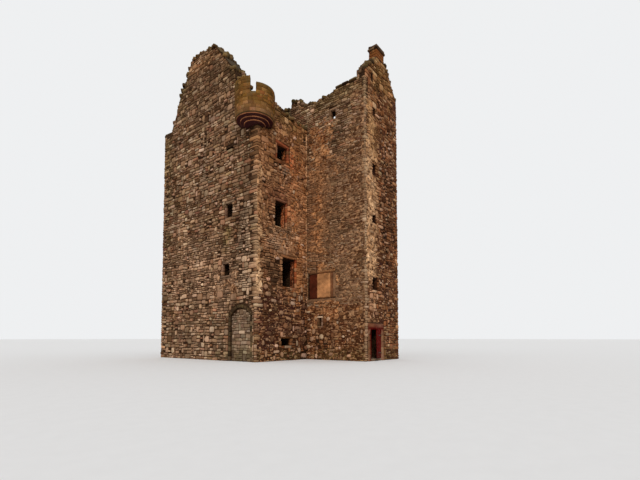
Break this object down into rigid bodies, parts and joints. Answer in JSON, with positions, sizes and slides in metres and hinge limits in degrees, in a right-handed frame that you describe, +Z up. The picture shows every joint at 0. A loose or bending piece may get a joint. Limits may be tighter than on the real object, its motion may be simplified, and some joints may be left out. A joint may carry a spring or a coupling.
{
  "type": "castle keep",
  "caption": "Roofless stone tower house with a stair wing, a corbelled corner turret, broken gables and a boarded door.",
  "frame": {"origin": "middle of the main block's plan, on the ground", "axes": "+Z up, -Y out through the door, -X towards the gable with the turret"},
  "size_m": [9.48, 14.4019, 20.0625],
  "materials": {
    "rubble": "rough coursed rubble with open joints and lichen",
    "red_sandstone": "worn red sandstone",
    "dressed_stone": "worn buff and pink sandstone",
    "slab": "dark weathered slab with moss",
    "turret_ashlar": "coursed ashlar under yellow and orange lichen",
    "flagstone": "worn flagstones",
    "joist_wood": "weathered oak",
    "board_wood": "grey weathered boards",
    "lime_plaster": "pale lime plaster",
    "infill": "grey rubble infill",
    "red_paint": "dull dark red paint on boards",
    "iron": "rusted wrought iron"
  },
  "bodies": {
    "tower": {"left_gable_wall": "rubble", "right_gable_wall": "rubble", "front_wall": "rubble", "back_wall": "rubble", "wing_left_wall": "rubble", "wing_right_wall": "rubble", "wing_front_wall": "rubble", "wing_pier_left": "rubble", "wing_pier_right": "rubble", "wing_gable": "rubble", "wing_chimney_shaft": "red_sandstone", "wing_chimney_cap": "slab", "wing_eaves_slabs": "slab", "wing_return": "rubble", "turret_corbels": "red_sandstone", "turret_wall": "turret_ashlar", "turret_floor": "flagstone", "gable_skew_slabs": "slab", "eaves_stones": "slab", "ground_flags": "flagstone", "wing_flags": "flagstone", "first_floor_vault": "flagstone", "second_floor_joists": "joist_wood", "second_floor_boards": "board_wood", "third_floor_joists": "joist_wood", "third_floor_boards": "board_wood", "front_window_first": "red_sandstone", "front_window_second": "red_sandstone", "front_window_third": "red_sandstone", "front_vent": "dressed_stone", "left_gable_windows": "dressed_stone", "right_gable_windows": "dressed_stone", "back_windows": "red_sandstone", "wing_front_windows": "dressed_stone", "wing_side_windows": "dressed_stone", "relieving_arch": "dressed_stone", "arch_infill": "infill", "blocked_window_margin": "dressed_stone", "blocked_window_panel": "lime_plaster", "door_surround": "dressed_stone", "door_frame": "red_paint", "door_pins": "iron", "door_step": "dressed_stone"},
    "door": {"door_leaf": "red_paint", "door_straps": "iron"}
  },
  "joints": [
    {"name": "door_hinge", "type": "hinge", "parent": "tower", "child": "door", "pos_m": [1.909, -9.171, 0], "axis": [0, 0, 1], "range_deg": [-18, 80]}
  ]
}
